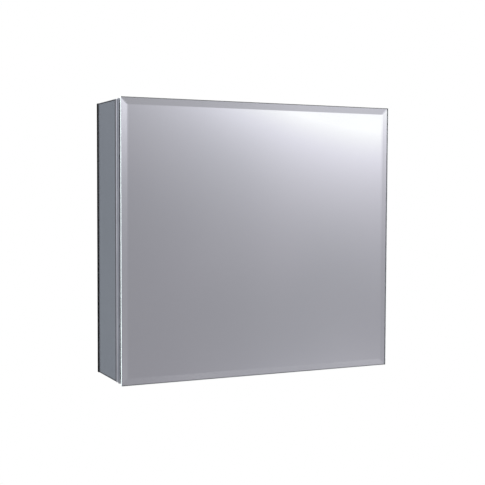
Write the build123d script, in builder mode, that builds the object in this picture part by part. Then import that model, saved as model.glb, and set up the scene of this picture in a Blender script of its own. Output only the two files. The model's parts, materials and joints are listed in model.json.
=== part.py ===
from build123d import *
import os

# Surface-mounted medicine cabinet: an aluminium body with mirrored sides, two glass
# shelves and one frameless bevelled mirror door that turns on two pivots at its right.
# Frame: X to the right as one faces the door, Z up, the wall is the plane Y = 0 and the
# door faces -Y. The origin is on the wall plane, at the middle of the back.
# "out" is a distance out from the wall, so out = -Y.

# ---- driving dimensions (mm) ----
WIDTH = 550.0
HEIGHT = 508.0
DEPTH = 150.0

# door
GLASS = 5.0
BEVEL = 12.7
GLASS_EDGE = 4.0
TAPE = 1.0
RAIL_DEPTH = 10.0
RAIL_WIDTH = 36.0
RAIL_WALL = 1.5
GLASS_OVERHANG = 3.5
REBATE_WIDTH = 6.0
REBATE_DEPTH = 5.0
THIN_MIRROR = 3.0
DOOR_GAP = 3.0

# body
FLANGE_INSET = 1.5
FLANGE_WIDTH = 14.0
FLANGE_DEPTH = 16.5
FLANGE_WALL = 2.0
PROFILE_ROUND = 0.4
GROOVE_WIDTH = 8.0
GROOVE_DEPTH = 1.0
GROOVE_BEHIND = 2.5
STEP = 5.0
WALL = 1.6
RETURN = 20.0
TRIM_DEPTH = 9.5
TRIM_ROUND = 1.2
SEAM = 1.2
SIDE_GAP = 3.5
PANEL = 1.5
PANEL_GAP = 0.5

# shelves
SHELF_WIDTH = 516.0
SHELF_DEPTH = 92.0
SHELF_GLASS = 6.0
SHELF_BACK = 12.0
TRACK_WIDTH = 14.0
TRACK_DEPTH = 5.0
TRACK_HALF = 225.0
TRACK_OUTS = (25.0, 88.0)
HOLE_PITCH = 32.0
HOLE_STEPS = 6
SHELF_STEPS = (2, -3)

# pivots
PIVOT_IN = 6.0
PIVOT_FORWARD = 9.5
PIVOT_RADIUS = 1.5
RUNNING_FIT = 0.05
BRACKET = 1.5

# catches and wall fixing
CATCH_HEIGHT = 150.0
WALL_HOLE_X = 203.2
WALL_HOLE_Z = 200.0
WALL_HOLE_RADIUS = 3.5

# ---- sizes that follow ----
DOOR_BACK_OUT = DEPTH - GLASS - TAPE - RAIL_DEPTH
RAIL_FRONT_OUT = DEPTH - GLASS - TAPE
DOOR_X = WIDTH - 2 * GLASS_OVERHANG
DOOR_Z = HEIGHT - 2 * GLASS_OVERHANG
BODY_OUT = DOOR_BACK_OUT - DOOR_GAP
BODY_X = WIDTH - 2 * FLANGE_INSET
BODY_Z = HEIGHT - 2 * FLANGE_INSET
FLANGE_BACK_OUT = BODY_OUT - FLANGE_DEPTH
INNER_X = BODY_X / 2 - STEP - WALL
INNER_Z = BODY_Z / 2 - STEP - WALL
PIVOT_X = BODY_X / 2 - PIVOT_IN
PIVOT_OUT = BODY_OUT + PIVOT_FORWARD

SIDES = {
    "left": (Vector(1, 0, 0), Vector(0, 0, 1)),
    "right": (Vector(-1, 0, 0), Vector(0, 0, -1)),
    "top": (Vector(0, 0, -1), Vector(1, 0, 0)),
    "bottom": (Vector(0, 0, 1), Vector(-1, 0, 0)),
}

os.makedirs("parts", exist_ok=True)


def front_plane(out):
    """Plane that faces the front, at this distance out from the wall."""
    return Plane.XZ.offset(out)


def save(piece, name):
    """Label a finished piece and write it as a node of its own."""
    piece.part.label = name
    export_step(piece.part, f"parts/{name}.step")


def mitred_side(side, outline, pocket, size_x, size_z, front_out, cutters=()):
    """One mitred member of a rectangular frame.

    outline and pocket are (inward from the outer face, back from the front face).
    """
    inward, run = SIDES[side]
    upright = side in ("left", "right")
    half_across = (size_x if upright else size_z) / 2
    half_run = (size_z if upright else size_x) / 2
    centre = inward * -half_across + Vector(0, -front_out, 0)
    with BuildPart() as member:
        with BuildSketch(Plane(centre, x_dir=inward, z_dir=run)):
            with BuildLine():
                Polyline(*outline, close=True)
            section = make_face()
            fillet(section.vertices(), radius=PROFILE_ROUND)
            with BuildLine():
                Polyline(*pocket, close=True)
            make_face(mode=Mode.SUBTRACT)
        extrude(amount=half_run, both=True)
        for end in (1, -1):
            corner = centre + run * (end * half_run)
            split(bisect_by=Plane(corner, z_dir=inward + run * end), keep=Keep.BOTTOM)
        for cutter in cutters:
            add(cutter.part, mode=Mode.SUBTRACT)
    return member


def ring(size_x, size_z, inset, width, front_out, thickness):
    """Flat rectangular ring, its outer edge inset from a size_x by size_z outline."""
    with BuildPart() as band:
        with BuildSketch(front_plane(front_out - thickness)):
            Rectangle(size_x - 2 * inset, size_z - 2 * inset)
            Rectangle(size_x - 2 * (inset + width), size_z - 2 * (inset + width), mode=Mode.SUBTRACT)
        extrude(amount=thickness)
    return band


def corner_keys(size_x, size_z, inset, leg_width, leg_length, front_out, thickness, cutters=()):
    """Four L-shaped keys that fill the frame's hollow at its corners."""
    with BuildPart() as keys:
        for x_sign in (1, -1):
            for z_sign in (1, -1):
                x = x_sign * (size_x / 2 - inset)
                z = z_sign * (size_z / 2 - inset)
                with BuildSketch(front_plane(front_out - thickness)):
                    with BuildLine():
                        Polyline(
                            (x, z),
                            (x - x_sign * leg_length, z),
                            (x - x_sign * leg_length, z - z_sign * leg_width),
                            (x - x_sign * leg_width, z - z_sign * leg_width),
                            (x - x_sign * leg_width, z - z_sign * leg_length),
                            (x, z - z_sign * leg_length),
                            close=True,
                        )
                    make_face()
                extrude(amount=thickness)
        for cutter in cutters:
            add(cutter.part, mode=Mode.SUBTRACT)
    return keys


def glass_plate(size_x, size_z, back_out, thickness, arris):
    """Flat glass, parallel to the wall, with ground edges."""
    with BuildPart() as plate:
        with BuildSketch(front_plane(back_out)):
            Rectangle(size_x, size_z)
        extrude(amount=thickness)
        chamfer(plate.edges(), length=arris)
    return plate


def studs(planes, head_radius, head_height, shank_radius, shank_length, hidden=0.0):
    """Headed fasteners: each plane stands on the face that the head rests on.

    With hidden over zero the head is countersunk, that deep below the face.
    """
    with BuildPart() as group:
        for plane in planes:
            if hidden:
                with BuildSketch(plane):
                    Circle(head_radius)
                with BuildSketch(plane.offset(-hidden)):
                    Circle(shank_radius)
                loft()
            else:
                with BuildSketch(plane):
                    Circle(head_radius)
                extrude(amount=head_height)
            with BuildSketch(plane.offset(-hidden)):
                Circle(shank_radius)
            extrude(amount=-(shank_length - hidden))
    return group


def facing(position, direction):
    """Plane at a position, its normal along a direction."""
    return Plane(position, z_dir=direction)


# ======================= pivots: bushes, pins and brackets =======================
BUSH_RADIUS = 2.5
BUSH_DEPTH = 8.0
BUSH_FLANGE_RADIUS = 3.5
END_PLAY = 0.3
PIN_IN_BUSH = 7.0
PIN_END_ROOM = 0.5
bush_seat = DOOR_Z / 2
bracket_inner = BODY_Z / 2

with BuildPart() as pivot_bushes:
    for z_sign in (1, -1):
        seat = Plane((PIVOT_X, -PIVOT_OUT, z_sign * bush_seat), z_dir=(0, 0, z_sign))
        with BuildSketch(seat):
            Circle(BUSH_FLANGE_RADIUS)
        extrude(amount=bracket_inner - bush_seat - END_PLAY)
        with BuildSketch(seat):
            Circle(BUSH_RADIUS)
        extrude(amount=-BUSH_DEPTH)
        with BuildSketch(seat.offset(bracket_inner - bush_seat)):
            Circle(PIVOT_RADIUS + RUNNING_FIT)
        extrude(amount=-(bracket_inner - bush_seat + PIN_IN_BUSH + PIN_END_ROOM), mode=Mode.SUBTRACT)
save(pivot_bushes, "pivot_bushes")

with BuildPart() as bush_seats:
    for z_sign in (1, -1):
        with BuildSketch(Plane((PIVOT_X, -PIVOT_OUT, z_sign * bush_seat), z_dir=(0, 0, z_sign))):
            Circle(BUSH_RADIUS)
        extrude(amount=-BUSH_DEPTH)

with BuildPart() as pivot_pins:
    for z_sign in (1, -1):
        top = Plane((PIVOT_X, -PIVOT_OUT, z_sign * (bracket_inner + BRACKET)), z_dir=(0, 0, z_sign))
        with BuildSketch(top):
            Circle(PIVOT_RADIUS)
        extrude(amount=-(BRACKET + bracket_inner - bush_seat + PIN_IN_BUSH))
save(pivot_pins, "pivot_pins")

BRACKET_LENGTH = 34.0
BRACKET_REACH = 15.0
BRACKET_NECK = 12.0
EYE_RADIUS = 3.5
NECK_SIDE = PIVOT_X + 2.0
BRACKET_SIDE = PIVOT_X + 4.0
BRACKET_FRONT = -BODY_OUT + 0.5
BRACKET_ROUND = 3.0
NECK_START = -BODY_OUT + 1.0
BRACKET_SCREW = {
    "head_radius": 3.2,
    "head_height": 0,
    "shank_radius": 1.5,
    "shank_length": 8.0,
    "hidden": 1.4,
}
BRACKET_SCREW_BACK = 9.0
BRACKET_SCREWS_ALONG = (5.0, 23.0)
bracket_screw_spots = [(PIVOT_X - along, BODY_OUT - BRACKET_SCREW_BACK) for along in BRACKET_SCREWS_ALONG]

bracket_screw_planes = [
    facing((x, -out, z_sign * (bracket_inner + BRACKET)), (0, 0, z_sign))
    for x, out in bracket_screw_spots
    for z_sign in (1, -1)
]
bracket_screws = studs(bracket_screw_planes, **BRACKET_SCREW)
save(bracket_screws, "bracket_screws")


def pivot_bracket(z_sign):
    """Steel plate on the flange that carries one pivot pin over the door's edge."""
    with BuildPart() as bracket:
        with BuildSketch(Plane.XY.offset(bracket_inner if z_sign > 0 else -bracket_inner - BRACKET)):
            with BuildLine():
                Polyline(
                    (BRACKET_SIDE, BRACKET_FRONT),
                    (BRACKET_SIDE, -BODY_OUT + BRACKET_REACH),
                    (BRACKET_SIDE - BRACKET_LENGTH, -BODY_OUT + BRACKET_REACH),
                    (BRACKET_SIDE - BRACKET_LENGTH, BRACKET_FRONT),
                    close=True,
                )
            make_face()
            with BuildLine():
                Polyline(
                    (NECK_SIDE, NECK_START),
                    (NECK_SIDE, -PIVOT_OUT),
                    (PIVOT_X - EYE_RADIUS, -PIVOT_OUT),
                    (PIVOT_X - BRACKET_NECK, NECK_START),
                    close=True,
                )
            make_face()
            with Locations((PIVOT_X, -PIVOT_OUT)):
                Circle(EYE_RADIUS)
        extrude(amount=BRACKET)
        outer_corners = bracket.edges().filter_by(Axis.Z).group_by(Axis.Y)[-1]
        fillet(outer_corners, radius=BRACKET_ROUND)
        add(pivot_pins.part, mode=Mode.SUBTRACT)
        add(bracket_screws.part, mode=Mode.SUBTRACT)
    return bracket


save(pivot_bracket(1), "pivot_bracket_top")
save(pivot_bracket(-1), "pivot_bracket_bottom")

# ======================= door =======================
with BuildPart() as door_mirror_glass:
    with BuildSketch(front_plane(DEPTH - GLASS)):
        Rectangle(WIDTH, HEIGHT)
    extrude(amount=GLASS_EDGE)
    with BuildSketch(front_plane(DEPTH - GLASS + GLASS_EDGE)):
        Rectangle(WIDTH, HEIGHT)
    with BuildSketch(front_plane(DEPTH)):
        Rectangle(WIDTH - 2 * BEVEL, HEIGHT - 2 * BEVEL)
    loft()
save(door_mirror_glass, "door_mirror_glass")

TAPE_WIDTH = 20.0
TAPE_INSET = 4.0
save(ring(DOOR_X, DOOR_Z, TAPE_INSET, TAPE_WIDTH, DEPTH - GLASS, TAPE), "door_mirror_tape")

REBATE_START = RAIL_WIDTH - REBATE_WIDTH
rail_outline = [
    (0, 0),
    (RAIL_WIDTH, 0),
    (RAIL_WIDTH, REBATE_DEPTH),
    (REBATE_START, REBATE_DEPTH),
    (REBATE_START, RAIL_DEPTH),
    (0, RAIL_DEPTH),
]
rail_pocket = [
    (RAIL_WALL, RAIL_WALL),
    (RAIL_WIDTH - RAIL_WALL, RAIL_WALL),
    (RAIL_WIDTH - RAIL_WALL, REBATE_DEPTH - RAIL_WALL),
    (REBATE_START - RAIL_WALL, REBATE_DEPTH - RAIL_WALL),
    (REBATE_START - RAIL_WALL, RAIL_DEPTH - RAIL_WALL),
    (RAIL_WALL, RAIL_DEPTH - RAIL_WALL),
]

KEY_LEG = 60.0
KEY_WIDTH = REBATE_START - 2 * RAIL_WALL
RIVET_IN = 15.0
RIVET_ALONG = 48.0
key_rivet_spots = [
    (x_sign * (DOOR_X / 2 - a), z_sign * (DOOR_Z / 2 - b))
    for x_sign in (1, -1)
    for z_sign in (1, -1)
    for a, b in ((RIVET_IN, RIVET_ALONG), (RIVET_ALONG, RIVET_IN))
]
door_rivet_planes = [facing((x, -DOOR_BACK_OUT, z), (0, 1, 0)) for x, z in key_rivet_spots]
DOOR_RIVET = {
    "head_radius": 3.0,
    "head_height": 0.8,
    "shank_radius": 1.6,
    "shank_length": RAIL_DEPTH - RAIL_WALL,
}
door_key_rivets = studs(door_rivet_planes, **DOOR_RIVET)
save(door_key_rivets, "door_key_rivets")

STRIKE_RADIUS = 6.0
STRIKE = 1.0
catch_x = -(BODY_X - FLANGE_WIDTH) / 2
strike_planes = [
    facing((catch_x, -(DOOR_BACK_OUT - STRIKE), z_sign * CATCH_HEIGHT), (0, 1, 0)) for z_sign in (1, -1)
]
STRIKE_SCREW = {
    "head_radius": 2.4,
    "head_height": 0,
    "shank_radius": 1.2,
    "shank_length": 5.0,
    "hidden": 0.9,
}
catch_strike_screws = studs(strike_planes, **STRIKE_SCREW)
save(catch_strike_screws, "catch_strike_screws")

with BuildPart() as catch_strikes:
    for z_sign in (1, -1):
        with BuildSketch(front_plane(DOOR_BACK_OUT - STRIKE)):
            with Locations((catch_x, z_sign * CATCH_HEIGHT)):
                Circle(STRIKE_RADIUS)
        extrude(amount=STRIKE)
    add(catch_strike_screws.part, mode=Mode.SUBTRACT)
save(catch_strikes, "catch_strikes")

door_cutters = (bush_seats, door_key_rivets, catch_strike_screws)
for side in SIDES:
    rail = mitred_side(side, rail_outline, rail_pocket, DOOR_X, DOOR_Z, RAIL_FRONT_OUT, door_cutters)
    save(rail, f"door_rail_{side}")

door_corner_keys = corner_keys(
    DOOR_X,
    DOOR_Z,
    RAIL_WALL,
    KEY_WIDTH,
    KEY_LEG,
    RAIL_FRONT_OUT - RAIL_WALL,
    RAIL_DEPTH - 2 * RAIL_WALL,
    (bush_seats, door_key_rivets),
)
save(door_corner_keys, "door_corner_keys")

INNER_TAPE_GAP = 0.5
THIN_ARRIS = 0.4
inner_mirror_x = DOOR_X - 2 * (REBATE_START + INNER_TAPE_GAP)
inner_mirror_z = DOOR_Z - 2 * (REBATE_START + INNER_TAPE_GAP)
inner_tape_front = RAIL_FRONT_OUT - REBATE_DEPTH
inner_mirror_front = inner_tape_front - TAPE
save(
    ring(inner_mirror_x, inner_mirror_z, 0, REBATE_WIDTH - 2 * INNER_TAPE_GAP, inner_tape_front, TAPE),
    "door_inner_mirror_tape",
)
save(
    glass_plate(inner_mirror_x, inner_mirror_z, inner_mirror_front - THIN_MIRROR, THIN_MIRROR, THIN_ARRIS),
    "door_inner_mirror",
)
BEAD_WIDTH = 3.0
bead_front = inner_mirror_front - THIN_MIRROR
save(
    ring(DOOR_X, DOOR_Z, REBATE_START, BEAD_WIDTH, bead_front, bead_front - DOOR_BACK_OUT),
    "door_inner_mirror_bead",
)

# ======================= body =======================
# the groove runs nearer to the back of the flange's outer face
groove_end = FLANGE_DEPTH - GROOVE_BEHIND
body_outline = [
    (0, 0),
    (FLANGE_WIDTH, 0),
    (FLANGE_WIDTH, FLANGE_DEPTH),
    (STEP + WALL, FLANGE_DEPTH),
    (STEP + WALL, BODY_OUT - WALL),
    (RETURN, BODY_OUT - WALL),
    (RETURN, BODY_OUT),
    (STEP, BODY_OUT),
    (STEP, FLANGE_DEPTH),
    (0, FLANGE_DEPTH),
    (0, groove_end),
    (GROOVE_DEPTH, groove_end - GROOVE_DEPTH / 2),
    (GROOVE_DEPTH, groove_end - GROOVE_WIDTH + GROOVE_DEPTH / 2),
    (0, groove_end - GROOVE_WIDTH),
]
body_pocket = [
    (FLANGE_WALL, FLANGE_WALL),
    (FLANGE_WIDTH - FLANGE_WALL, FLANGE_WALL),
    (FLANGE_WIDTH - FLANGE_WALL, FLANGE_DEPTH - FLANGE_WALL),
    (FLANGE_WALL, FLANGE_DEPTH - FLANGE_WALL),
]

# countersunk screws that draw each flange corner onto its key
BODY_KEY_LEG = 45.0
KEY_SCREW_ALONG = 38.0
flange_middle_out = BODY_OUT - FLANGE_DEPTH / 2
inner_face_x = BODY_X / 2 - FLANGE_WIDTH
inner_face_z = BODY_Z / 2 - FLANGE_WIDTH
key_screw_planes = []
for x_sign in (1, -1):
    for z_sign in (1, -1):
        beside = (x_sign * inner_face_x, -flange_middle_out, z_sign * (BODY_Z / 2 - KEY_SCREW_ALONG))
        above = (x_sign * (BODY_X / 2 - KEY_SCREW_ALONG), -flange_middle_out, z_sign * inner_face_z)
        key_screw_planes.append(facing(beside, (-x_sign, 0, 0)))
        key_screw_planes.append(facing(above, (0, 0, -z_sign)))
KEY_SCREW = {
    "head_radius": 3.0,
    "head_height": 0,
    "shank_radius": 1.6,
    "shank_length": 9.0,
    "hidden": 1.5,
}
body_key_screws = studs(key_screw_planes, **KEY_SCREW)
save(body_key_screws, "body_key_screws")

# magnets in nylon cups, pressed into the left flange
CUP_RADIUS = 5.0
CUP_LENGTH = 9.0
CUP_RIM_RADIUS = 6.5
CUP_RIM = 0.6
MAGNET_RADIUS = 4.0
MAGNET_LENGTH = 6.0
with BuildPart() as catch_magnet_cups:
    for z_sign in (1, -1):
        with BuildSketch(front_plane(BODY_OUT)):
            with Locations((catch_x, z_sign * CATCH_HEIGHT)):
                Circle(CUP_RIM_RADIUS)
        extrude(amount=CUP_RIM)
        with BuildSketch(front_plane(BODY_OUT)):
            with Locations((catch_x, z_sign * CATCH_HEIGHT)):
                Circle(CUP_RADIUS)
        extrude(amount=-CUP_LENGTH)
        with BuildSketch(front_plane(BODY_OUT + CUP_RIM)):
            with Locations((catch_x, z_sign * CATCH_HEIGHT)):
                Circle(MAGNET_RADIUS)
        extrude(amount=-MAGNET_LENGTH, mode=Mode.SUBTRACT)
save(catch_magnet_cups, "catch_magnet_cups")

with BuildPart() as catch_magnets:
    for z_sign in (1, -1):
        with BuildSketch(front_plane(BODY_OUT + CUP_RIM)):
            with Locations((catch_x, z_sign * CATCH_HEIGHT)):
                Circle(MAGNET_RADIUS)
        extrude(amount=-MAGNET_LENGTH)
save(catch_magnets, "catch_magnets")

with BuildPart() as cup_holes:
    for z_sign in (1, -1):
        with BuildSketch(front_plane(BODY_OUT)):
            with Locations((catch_x, z_sign * CATCH_HEIGHT)):
                Circle(CUP_RADIUS)
        extrude(amount=-FLANGE_WALL)

# blind rivets that hold the back panel on the profile's rear return
RIVET_INSET = 13.0
RIVET_HEIGHTS = (-180.0, 0.0, 180.0)
RIVET_ACROSS = (-130.0, 130.0)
rivet_out = WALL + PANEL
panel_rivet_spots = [
    (x_sign * (BODY_X / 2 - RIVET_INSET), z) for x_sign in (1, -1) for z in RIVET_HEIGHTS
] + [(x, z_sign * (BODY_Z / 2 - RIVET_INSET)) for z_sign in (1, -1) for x in RIVET_ACROSS]
panel_rivet_planes = [facing((x, -rivet_out, z), (0, -1, 0)) for x, z in panel_rivet_spots]
PANEL_RIVET = {"head_radius": 3.2, "head_height": 0.9, "shank_radius": 1.6, "shank_length": rivet_out}
back_panel_rivets = studs(panel_rivet_planes, **PANEL_RIVET)
save(back_panel_rivets, "back_panel_rivets")

body_cutters = (body_key_screws, bracket_screws, cup_holes, back_panel_rivets)
for side in SIDES:
    profile = mitred_side(side, body_outline, body_pocket, BODY_X, BODY_Z, BODY_OUT, body_cutters)
    save(profile, f"body_profile_{side}")

body_corner_keys = corner_keys(
    BODY_X,
    BODY_Z,
    FLANGE_WALL,
    FLANGE_WIDTH - 2 * FLANGE_WALL,
    BODY_KEY_LEG,
    BODY_OUT - FLANGE_WALL,
    FLANGE_DEPTH - 2 * FLANGE_WALL,
    (body_key_screws, bracket_screws),
)
save(body_corner_keys, "body_corner_keys")

# soft buffers that the door closes on: two at the catch side, two near the hinge
BUMPER_RADIUS = 4.5
BUMPER_TAPER = 1.2
BUMPER = 2.8
BUMPER_HINGE_X = 180.0
flange_middle_z = (BODY_Z - FLANGE_WIDTH) / 2
with BuildPart() as door_bumpers:
    for x in (catch_x, BUMPER_HINGE_X):
        for z_sign in (1, -1):
            with BuildSketch(front_plane(BODY_OUT)):
                with Locations((x, z_sign * flange_middle_z)):
                    Circle(BUMPER_RADIUS)
            with BuildSketch(front_plane(BODY_OUT + BUMPER)):
                with Locations((x, z_sign * flange_middle_z)):
                    Circle(BUMPER_RADIUS - BUMPER_TAPER)
            loft()
save(door_bumpers, "door_bumpers")

# mirrored sides: glass on foam tape in the step behind the flange, rubber trim at the wall
STRIP_WIDTH = 18.0
side_front_out = FLANGE_BACK_OUT - SIDE_GAP
side_length = side_front_out - TRIM_DEPTH
side_middle_out = (side_front_out + TRIM_DEPTH) / 2
for side, x_sign in (("left", -1), ("right", 1)):
    outer_face = Plane((x_sign * BODY_X / 2, -side_middle_out, 0), x_dir=(0, 1, 0), z_dir=(x_sign, 0, 0))
    with BuildPart() as side_mirror:
        with BuildSketch(outer_face):
            Rectangle(side_length, BODY_Z)
        extrude(amount=-THIN_MIRROR)
        chamfer(side_mirror.edges(), length=SEAM)
    save(side_mirror, f"side_mirror_{side}")
    with BuildPart() as side_tape:
        with BuildSketch(outer_face.offset(-STEP)):
            with GridLocations((side_length - 2 * STRIP_WIDTH) / 2, 0, 3, 1):
                Rectangle(STRIP_WIDTH, 2 * INNER_Z - STRIP_WIDTH)
        extrude(amount=STEP - THIN_MIRROR)
    save(side_tape, f"side_mirror_tape_{side}")
    trim_face = Plane((x_sign * BODY_X / 2, -TRIM_DEPTH / 2, 0), x_dir=(0, 1, 0), z_dir=(x_sign, 0, 0))
    with BuildPart() as side_trim:
        with BuildSketch(trim_face):
            Rectangle(TRIM_DEPTH, BODY_Z)
        extrude(amount=-STEP)
        outer_edges = side_trim.faces().sort_by(Axis.X)[-1 if x_sign > 0 else 0].edges()
        fillet(outer_edges.filter_by(Axis.Z), radius=TRIM_ROUND)
    save(side_trim, f"side_edge_trim_{side}")

# back: steel panel on the rear return, strips that bring it to the wall plane
wall_hole_spots = [(x, z) for x in (-WALL_HOLE_X, WALL_HOLE_X) for z in (-WALL_HOLE_Z, WALL_HOLE_Z)]
with BuildPart() as back_panel:
    with BuildSketch(front_plane(WALL)):
        Rectangle(2 * (INNER_X - PANEL_GAP), 2 * (INNER_Z - PANEL_GAP))
        with Locations(*wall_hole_spots):
            Circle(WALL_HOLE_RADIUS, mode=Mode.SUBTRACT)
    extrude(amount=PANEL)
    add(back_panel_rivets.part, mode=Mode.SUBTRACT)
save(back_panel, "back_panel")

STRIP_HEIGHT = 40.0
STRIP_CLEARANCE = 1.0
for name, z in (("upper", WALL_HOLE_Z), ("lower", -WALL_HOLE_Z)):
    with BuildPart() as wall_strip:
        with BuildSketch(front_plane(0)):
            with Locations((0, z)):
                Rectangle(BODY_X - 2 * RETURN - STRIP_CLEARANCE, STRIP_HEIGHT)
            with Locations((-WALL_HOLE_X, z), (WALL_HOLE_X, z)):
                Circle(WALL_HOLE_RADIUS, mode=Mode.SUBTRACT)
        extrude(amount=WALL)
    save(wall_strip, f"wall_strip_{name}")

BACK_MIRROR_X = 500.0
BACK_MIRROR_Z = 456.0
MIRROR_HOLE_RADIUS = 8.0
BACK_TAPE_PITCH = 157.0
BACK_TAPE_LENGTH = BACK_MIRROR_Z - 16.0
back_mirror_out = WALL + PANEL + TAPE
with BuildPart() as back_mirror_tape:
    with BuildSketch(front_plane(WALL + PANEL)):
        with GridLocations(BACK_TAPE_PITCH, 0, 4, 1):
            Rectangle(TAPE_WIDTH, BACK_TAPE_LENGTH)
    extrude(amount=TAPE)
    with BuildSketch(front_plane(WALL + PANEL)):
        with Locations(*wall_hole_spots):
            Circle(MIRROR_HOLE_RADIUS)
    extrude(amount=TAPE, mode=Mode.SUBTRACT)
save(back_mirror_tape, "back_mirror_tape")

with BuildPart() as interior_back_mirror:
    with BuildSketch(front_plane(back_mirror_out)):
        Rectangle(BACK_MIRROR_X, BACK_MIRROR_Z)
        with Locations(*wall_hole_spots):
            Circle(MIRROR_HOLE_RADIUS, mode=Mode.SUBTRACT)
    extrude(amount=THIN_MIRROR)
save(interior_back_mirror, "interior_back_mirror")

GROMMET_LIP = 2.0
GROMMET_RIM = 1.0
with BuildPart() as wall_hole_grommets:
    with BuildSketch(front_plane(WALL + PANEL)):
        with Locations(*wall_hole_spots):
            Circle(MIRROR_HOLE_RADIUS)
    extrude(amount=TAPE + THIN_MIRROR)
    with BuildSketch(front_plane(back_mirror_out + THIN_MIRROR)):
        with Locations(*wall_hole_spots):
            Circle(MIRROR_HOLE_RADIUS + GROMMET_LIP)
    extrude(amount=GROMMET_RIM)
    with BuildSketch(front_plane(WALL + PANEL)):
        with Locations(*wall_hole_spots):
            Circle(WALL_HOLE_RADIUS)
    extrude(amount=TAPE + THIN_MIRROR + GROMMET_RIM, mode=Mode.SUBTRACT)
save(wall_hole_grommets, "wall_hole_grommets")

# ======================= shelves =======================
TRACK_WALL = 1.5
PIN_RADIUS = 2.5
PEG_RADIUS = 3.0
SLEEVE_RADIUS = 4.0
SLEEVE_START = 1.5
COLLAR_RADIUS = 4.5
COLLAR = 1.0
SHELF_CORNER = 6.0
SHELF_ARRIS = 0.6
PEG_END_IN = 24.0
track_face_x = INNER_X - TRACK_DEPTH
hole_heights = [step * HOLE_PITCH for step in range(-HOLE_STEPS, HOLE_STEPS + 1)]

for side, x_sign in (("left", -1), ("right", 1)):
    with BuildPart() as tracks:
        for track_out in TRACK_OUTS:
            wall_face = Plane((x_sign * INNER_X, -track_out, 0), x_dir=(0, 1, 0), z_dir=(-x_sign, 0, 0))
            with BuildSketch(wall_face):
                Rectangle(TRACK_WIDTH, 2 * TRACK_HALF)
            extrude(amount=TRACK_DEPTH)
            with BuildSketch(wall_face):
                Rectangle(TRACK_WIDTH - 2 * TRACK_WALL, 2 * TRACK_HALF)
            extrude(amount=TRACK_DEPTH - TRACK_WALL, mode=Mode.SUBTRACT)
            with BuildSketch(wall_face):
                with Locations(*[(0, height) for height in hole_heights]):
                    Circle(PIN_RADIUS)
            extrude(amount=TRACK_DEPTH, mode=Mode.SUBTRACT)
    save(tracks, f"shelf_tracks_{side}")


def peg_planes(step):
    """Planes on the track faces, looking inward, at the pegs of one shelf."""
    return [
        Plane((x_sign * track_face_x, -track_out, step * HOLE_PITCH), z_dir=(-x_sign, 0, 0))
        for x_sign in (1, -1)
        for track_out in TRACK_OUTS
    ]


peg_length = PEG_END_IN - (BODY_X / 2 - track_face_x)
for name, step in zip(("upper", "lower"), SHELF_STEPS):
    with BuildPart() as pins:
        for plane in peg_planes(step):
            with BuildSketch(plane):
                Circle(PIN_RADIUS)
            extrude(amount=-TRACK_DEPTH)
            with BuildSketch(plane):
                Circle(COLLAR_RADIUS)
            extrude(amount=COLLAR)
            with BuildSketch(plane):
                Circle(PEG_RADIUS)
            extrude(amount=peg_length)
    save(pins, f"shelf_pins_{name}")
    with BuildPart() as sleeves:
        for plane in peg_planes(step):
            with BuildSketch(plane.offset(SLEEVE_START)):
                Circle(SLEEVE_RADIUS)
                Circle(PEG_RADIUS, mode=Mode.SUBTRACT)
            extrude(amount=peg_length - SLEEVE_START)
    save(sleeves, f"shelf_pin_sleeves_{name}")
    with BuildPart() as shelf:
        with BuildSketch(Plane.XY.offset(step * HOLE_PITCH + SLEEVE_RADIUS)):
            with Locations((0, -(SHELF_BACK + SHELF_DEPTH / 2))):
                RectangleRounded(SHELF_WIDTH, SHELF_DEPTH, SHELF_CORNER)
        extrude(amount=SHELF_GLASS)
        chamfer(shelf.faces().filter_by(Axis.Z).edges(), length=SHELF_ARRIS)
    save(shelf, f"shelf_{name}")
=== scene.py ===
import json
import math

import bmesh
import bpy
from mathutils import Euler, Matrix, Vector


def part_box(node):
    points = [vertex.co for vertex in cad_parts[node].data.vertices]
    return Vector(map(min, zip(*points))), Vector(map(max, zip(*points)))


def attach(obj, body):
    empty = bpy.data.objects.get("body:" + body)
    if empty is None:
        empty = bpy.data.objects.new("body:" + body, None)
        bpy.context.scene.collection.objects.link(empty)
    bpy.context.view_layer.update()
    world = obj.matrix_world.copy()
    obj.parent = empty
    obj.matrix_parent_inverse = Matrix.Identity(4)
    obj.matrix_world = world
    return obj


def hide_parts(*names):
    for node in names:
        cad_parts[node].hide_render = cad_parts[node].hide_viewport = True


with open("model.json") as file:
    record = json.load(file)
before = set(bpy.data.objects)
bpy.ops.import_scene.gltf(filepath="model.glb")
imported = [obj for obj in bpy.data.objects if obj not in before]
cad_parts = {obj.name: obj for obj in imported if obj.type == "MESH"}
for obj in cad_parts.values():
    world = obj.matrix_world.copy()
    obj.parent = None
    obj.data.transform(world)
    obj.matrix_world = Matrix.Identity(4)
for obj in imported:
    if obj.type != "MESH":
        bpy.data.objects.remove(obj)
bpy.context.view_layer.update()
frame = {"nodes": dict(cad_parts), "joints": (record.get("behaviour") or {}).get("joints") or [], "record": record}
nodes = frame["nodes"]


# ---------------------------------------------------------------------------
# Body frame: four lengths of one hollow aluminium extrusion, mitred and keyed.
# The wide front flange has a groove near the back of its outer face. It is
# satin anodised, so it keeps the die's fine lines along its length.
# ---------------------------------------------------------------------------
MM = 0.001
LEFT_AND_RIGHT = (("left", -1), ("right", 1))
TOP_AND_BOTTOM = (("top", 1), ("bottom", -1))
# nearly all of a noise pattern's levels lie between these two
NOISE_LOW = 0.3
NOISE_HIGH = 0.7
ANODISED_COLOUR = "C9CACD"
ANODISED_SHADE = "B4B6BA"
ANODISED_ROUGHNESS = (0.24, 0.34)
DIE_LINE_SPACING = 1.4 * MM
DIE_LINE_LENGTH = 350 * MM
DIE_LINE_DEPTH = 0.05 * MM
CLOUDS_PER_METRE = 22.0
# lines and clouds multiplied together have lower levels than either alone
CLOUDED_LEVELS = (0.05, 0.35)


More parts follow.
